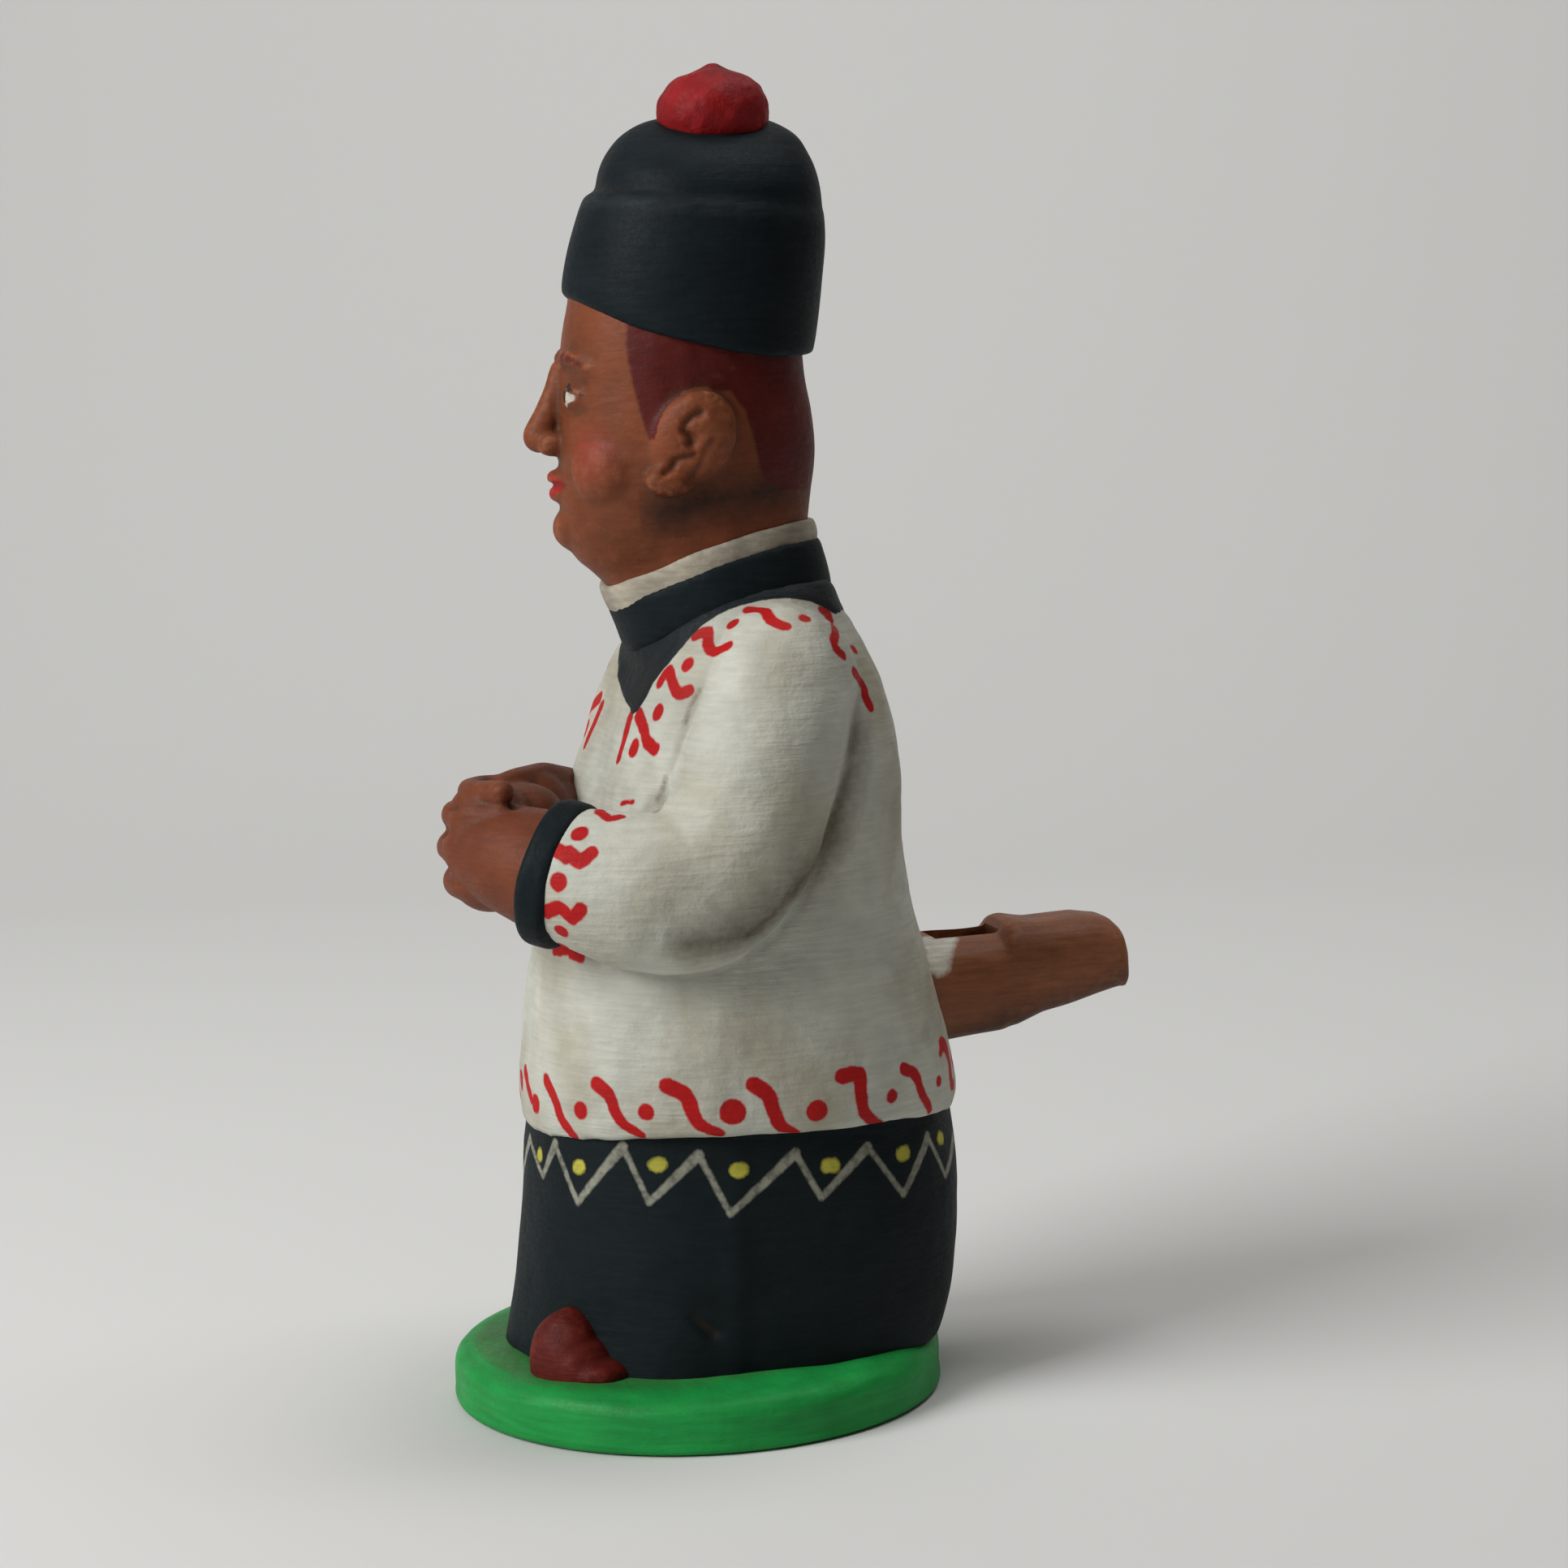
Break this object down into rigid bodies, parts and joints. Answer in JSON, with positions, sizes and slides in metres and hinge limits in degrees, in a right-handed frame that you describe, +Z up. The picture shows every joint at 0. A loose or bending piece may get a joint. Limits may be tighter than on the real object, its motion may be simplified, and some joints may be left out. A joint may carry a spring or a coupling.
{
  "type": "ceramic whistle figurine",
  "caption": "Painted clay whistle in the form of a standing figure with cap, pom-pom, embroidered smock and clasped hands on a round green base",
  "frame": {"origin": "middle of the base's underside", "axes": "+Z up, the figure faces -Y and the whistle points to +Y, metres"},
  "size_m": [0.0633, 0.0855, 0.1593],
  "materials": {
    "painted_clay": "matte"
  },
  "bodies": {
    "root": {"whistle_figurine": "painted_clay"}
  },
  "joints": []
}
